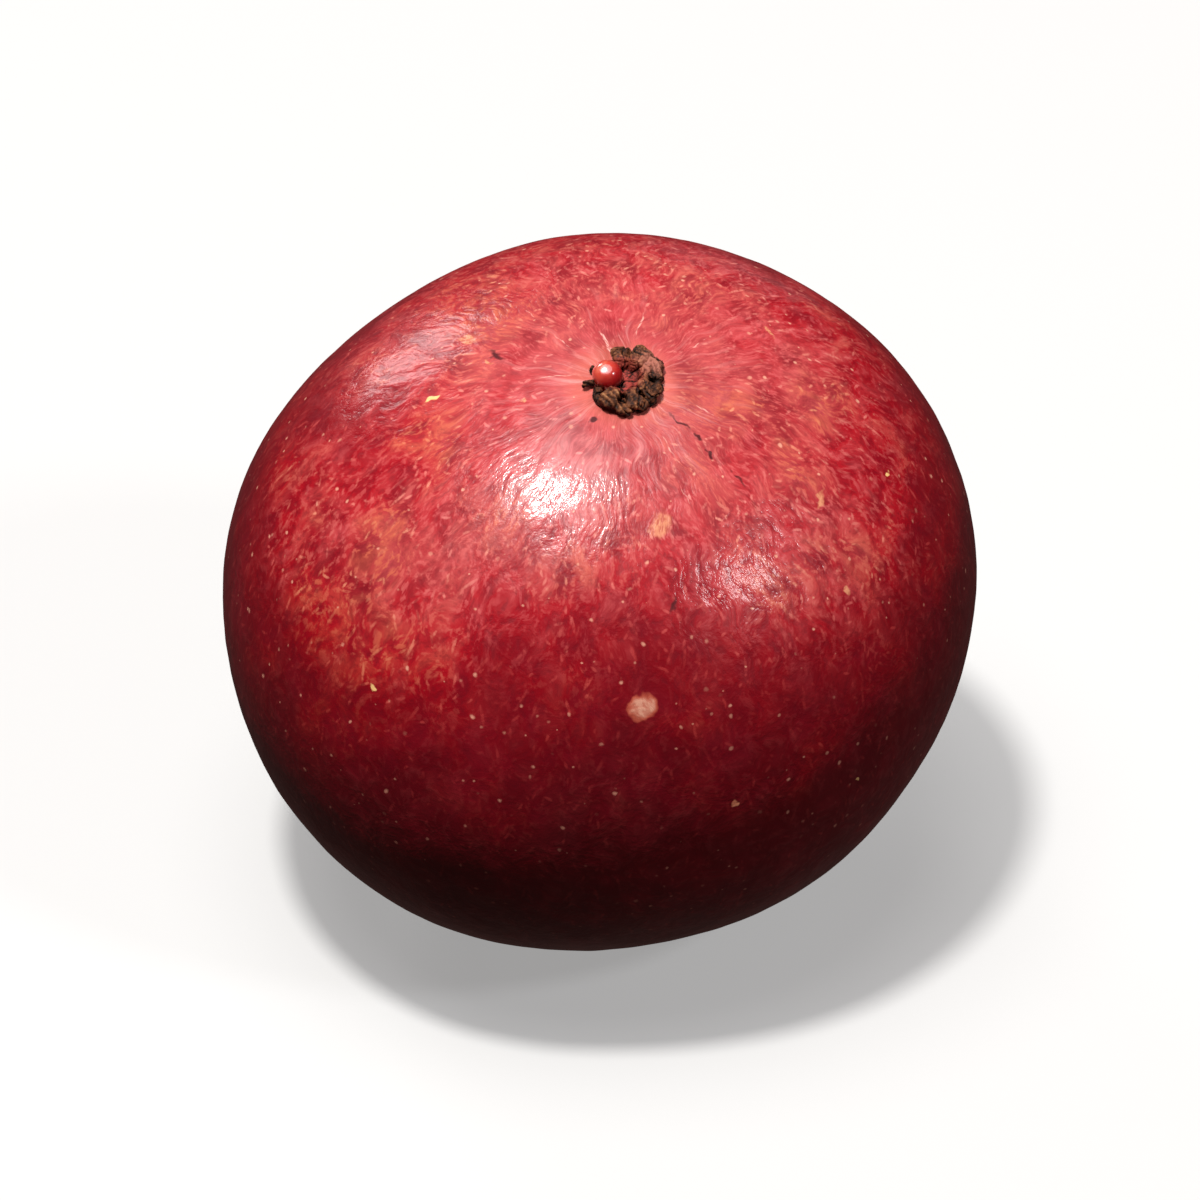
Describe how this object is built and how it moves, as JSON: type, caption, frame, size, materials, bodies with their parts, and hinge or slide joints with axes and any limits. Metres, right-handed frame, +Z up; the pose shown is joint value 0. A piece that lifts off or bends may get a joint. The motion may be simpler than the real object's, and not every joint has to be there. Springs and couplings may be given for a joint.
{
  "type": "coffee plum",
  "caption": "Whole ripe coffee plum: a slightly flattened, slightly lopsided red fruit with dried styles at its crown, resting on a small flat spot.",
  "frame": {"origin": "on the surface that the fruit rests on, under the middle of its bounding box", "axes": "+Z up out of the resting surface; the crown with the dried styles leans 16 degrees from +Z towards -Y and 4 degrees towards +X"},
  "size_m": [0.024, 0.0238, 0.021],
  "materials": {
    "skin": null,
    "dried_style": null,
    "bead": null
  },
  "bodies": {
    "root": {"fruit": "skin", "style_crown": "dried_style", "style_bead": "bead"}
  },
  "joints": []
}
